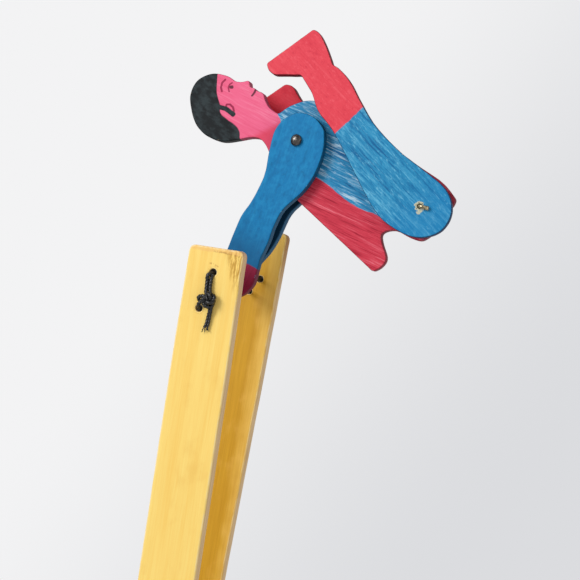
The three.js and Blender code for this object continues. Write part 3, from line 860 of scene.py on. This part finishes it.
def waxed_cord():
    """Black waxed thread: nearly black, with a dull shine on the high strands and pale grey flecks in
    patches, partly dust and partly painted glints.
    """
    cord = Finish("waxed_cord")
    spot = cord.upright((0, 0, 0))
    fibre = cord.noise(spot, (7, 7, 7), detail=3)
    wax = cord.noise(spot, (0.9, 0.9, 0.9), detail=3)
    colour = cord.mix(cord.between(wax, 0.5, 0.75), srgb(2, 4, 5), srgb(16, 22, 22))
    # Pale grey flecks: partly dust and partly painted glints on the wax.
    dust_and_glints = cord.between(cord.noise(spot, (2.4, 2.4, 2.4), detail=2), 0.66, 0.74)
    cord.feed(Base_Color=cord.mix(dust_and_glints * 0.7, colour, srgb(132, 140, 138)))
    cord.feed(Coat_Weight=0.3, Coat_Roughness=0.15)
    cord.feed(Roughness=0.3 + fibre * 0.25, Normal=cord.bump(fibre, 0.05 * MM, 0.8))
    return cord.material


cord_tree = laid_cord_tree()
black_cord = waxed_cord()


def laid_cord(name, routes, last=()):
    """Cord along each route of (x, y, z) points in mm, with the cut ends closed. last gives the last
    routes' thickness, as shares of the cord's."""
    line = bpy.data.curves.new(name + "_route", "CURVE")
    line.dimensions = "3D"
    shares = [1.0] * (len(routes) - len(last)) + list(last)
    for route, share in zip(routes, shares):
        spline = line.splines.new("BEZIER")
        spline.bezier_points.add(len(route) - 1)
        for point, spot in zip(spline.bezier_points, route):
            point.co = Vector(spot) * MM
            point.handle_left_type = point.handle_right_type = "AUTO"
            point.radius = share
        spline.resolution_u = 16
    drawn = bpy.data.objects.new(name + "_route", line)
    bpy.context.scene.collection.objects.link(drawn)
    sweep = drawn.modifiers.new("laid_cord", "NODES")
    sweep.node_group = cord_tree
    for socket in cord_tree.interface.items_tree:
        if socket.in_out == "INPUT" and socket.name == "Material":
            sweep[socket.identifier] = black_cord
    mesh = bpy.data.meshes.new_from_object(drawn.evaluated_get(bpy.context.evaluated_depsgraph_get()))
    bpy.data.objects.remove(drawn)
    mesh.name = name
    piece = bpy.data.objects.new(name, mesh)
    bpy.context.scene.collection.objects.link(piece)
    return piece


def strand(side, hole, hand, reaches):
    """Points on the straight way from a stick's hole to the hands, at distances from the middle."""
    points = []
    for y in reaches:
        share = min(max((AT_STICK - y) / (AT_STICK - AT_HAND), 0), 1)
        x, z = (a + (b - a) * share for a, b in zip(hole, hand))
        points.append((x, side * y, z))
    return points


def bunched(side, hole):
    """The cord's bulk inside a stick's hole, which it fills."""
    return [(hole[0], side * y, hole[1]) for y in (20.6, 21.8, 23.4)]


spans = (("front_upper", -1, UPPER, HAND_UPPER), ("front_lower", -1, LOWER, HAND_LOWER),
         ("back_upper", 1, BACK_UPPER, HAND_UPPER), ("back_lower", 1, BACK_LOWER, HAND_LOWER))
for label, side, hole, hand in spans:
    span = laid_cord(label + "_strand", [strand(side, hole, hand, (AT_STICK, 14.5, 11.5, AT_HAND, 7.2))])
    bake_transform(span)
    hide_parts(label + "_span")
for label, hand in (("upper", HAND_UPPER), ("lower", HAND_LOWER)):
    threaded = laid_cord(label + "_hand_strand", [[(hand[0], y, hand[1]) for y in (-7.6, -3, 3, 7.6)]])
    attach(threaded, "near_arm")
    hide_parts(label + "_hand_cord")

lie = -(OUTER_FACE + 0.72)
upper_end = laid_cord("front_upper_end", [
    strand(-1, UPPER, HAND_UPPER, (15.6, 18, 21)) + [
        (-0.3, -24.2, 201.8), (-1.2, lie - 0.5, 200.6), (-1.25, lie - 0.1, 198.6), (-1.1, lie - 0.2, 196.4),
        (-0.7, lie - 0.8, 194.6), (0.1, lie - 1.2, 193.4)],
    [(0.1, -23.4, 201.5), (0.1, lie + 0.2, 200.3), (0.05, lie - 0.1, 198.4), (0.2, lie - 0.2, 196.2),
     (0.8, lie - 0.6, 194.4), (0.9, lie - 1.0, 193.2)],
    bunched(-1, UPPER),
], last=[FILLING])
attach(upper_end, "front_side")
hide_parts("front_upper_cord")
lower_end = laid_cord("front_lower_end", [
    strand(-1, LOWER, HAND_LOWER, (15.6, 18, 21)) + [
        (-3.0, -24.3, 189.5), (-2.9, lie - 0.5, 190.4), (-2.2, lie - 0.9, 191.5), (-0.9, lie - 0.9, 192.3)],
    bunched(-1, LOWER),
], last=[FILLING])
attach(lower_end, "front_side")
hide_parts("front_lower_cord")


def overhand(centre, size, lean, steps=40):
    """One turn of a knot pulled tight: the route of a trefoil, squeezed to size."""
    route = []
    for k in range(steps + 1):
        t = 2 * math.pi * k / steps
        x, z = math.sin(t) + 2 * math.sin(2 * t), math.cos(t) - 2 * math.cos(2 * t)
        leaned = (x * math.cos(lean) - z * math.sin(lean), -math.sin(3 * t),
                  x * math.sin(lean) + z * math.cos(lean))
        route.append(tuple(middle + part * reach for middle, part, reach in zip(centre, leaned, size)))
    return route


tails = [
    [(1.7, lie - 0.2, 191.4), (1.9, lie - 0.6, 189.9), (1.6, lie, 187.6), (1.5, lie + 0.2, 185.4),
     (1.2, lie + 0.2, 183.5)],
    [(1.0, lie - 0.2, 191.2), (1.1, lie - 0.1, 189.4), (0.85, lie + 0.2, 187.2), (0.65, lie + 0.2, 185),
     (0.2, lie + 0.2, 183.2)],
]
chance = np.random.default_rng(6)
frays = []
for tail in tails:
    x, y, z = tail[-1]
    for k in range(5):
        aside, down = chance.uniform(-0.45, 0.45), chance.uniform(0.7, 1.6)
        frays.append([(x + 0.4 * aside, y, z + 0.5), (x + 0.8 * aside, y, z - 0.4 * down),
                      (x + 1.5 * aside, y, z - down)])
knot = laid_cord("cord_knot_tied", [
    overhand((0.1, lie - 0.9, 192.4), (1.08, 0.6, 0.76), 0.35),
    overhand((0.5, lie - 1.3, 192.8), (0.68, 0.8, 0.62), -0.9),
    overhand((-0.1, lie - 1.1, 192.2), (0.46, 0.7, 0.42), 1.4),
] + tails + frays, last=[THIN_TAIL] * len(tails) + [FIBRE] * len(frays))
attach(knot, "front_side")
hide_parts("cord_knot")

back_lie = 25.25
back_bight = laid_cord("back_cord_bight", [
    strand(1, BACK_UPPER, HAND_UPPER, (15.6, 18, 21))
    + [(3.1, 24.3, 202.2), (2.5, back_lie + 0.2, 201.2), (1.35, back_lie + 0.35, 199.75),
       (0.2, back_lie + 0.2, 198.3), (-0.4, 24.3, 197.3)]
    + strand(1, BACK_LOWER, HAND_LOWER, (21, 18, 15.6)),
    bunched(1, BACK_UPPER),
    bunched(1, BACK_LOWER),
], last=[FILLING, FILLING])
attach(back_bight, "back_side")
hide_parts("back_cord")


# ---- hip pin ----
# A length of soft wire through both legs and the body, with its head behind. Its front end is bent
# over sideways with pliers and lies on the leg, which holds it in.
WIRE, SIDES = 0.6, 20             # the wire's radius, and the sides it is drawn with
back_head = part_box("hip_pin")[1].y / MM
hip_axis = Vector((pivot["near_hip"].x, 0, pivot["near_hip"].z))
button = [(0, 0), (0.9, 0.05), (1.6, 0.4), (2.0, 0.95), (2.0, 1.3), (WIRE, 1.4)]
profile = [(radius, along - back_head) for radius, along in button] + [(WIRE, 6.35), (0, 6.35)]
hip_pin = turned("hip_wire", profile, hip_axis, -1, segments=32, dents=0.02, seed=2)
bent = bmesh.new()
bent.from_mesh(hip_pin.data)
route = [(0, -5.2, 0), (0, -6.2, 0), (0.25, -6.8, -0.05), (1.1, -7.05, -0.15), (2.2, -6.95, -0.35),
         (3.3, -6.9, -0.45)]
rings = []
for k, here in enumerate(route):
    ahead = Vector(route[min(k + 1, len(route) - 1)]) - Vector(route[max(k - 1, 0)])
    sideways = ahead.cross(Vector((0, 0, 1))).normalized()
    across_wire = ahead.cross(sideways).normalized()
    flat = 1.0 if k < 3 else 1.0 + 0.25 * (k - 2) / 3
    wide, thin = sideways * WIRE / flat, across_wire * WIRE * flat
    rings.append([
        bent.verts.new(hip_axis + (Vector(here) + wide * math.cos(a) + thin * math.sin(a)) * MM)
        for a in np.linspace(0, 2 * math.pi, SIDES, endpoint=False)
    ])
for a, b in zip(rings, rings[1:]):
    for k in range(SIDES):
        m = (k + 1) % SIDES
        bent.faces.new((a[k], a[m], b[m], b[k]))
bent.faces.new(rings[0][::-1])
bent.faces.new(rings[-1])
bmesh.ops.recalc_face_normals(bent, faces=bent.faces)
bent.to_mesh(hip_pin.data)
bent.free()
hip_pin.data.shade_smooth()
hip_pin.data.materials.append(tarnished_steel("hip_wire_steel", srgb(196, 184, 150), srgb(104, 90, 62)))
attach(hip_pin, "trunk")
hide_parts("hip_pin")

bpy.context.view_layer.update()
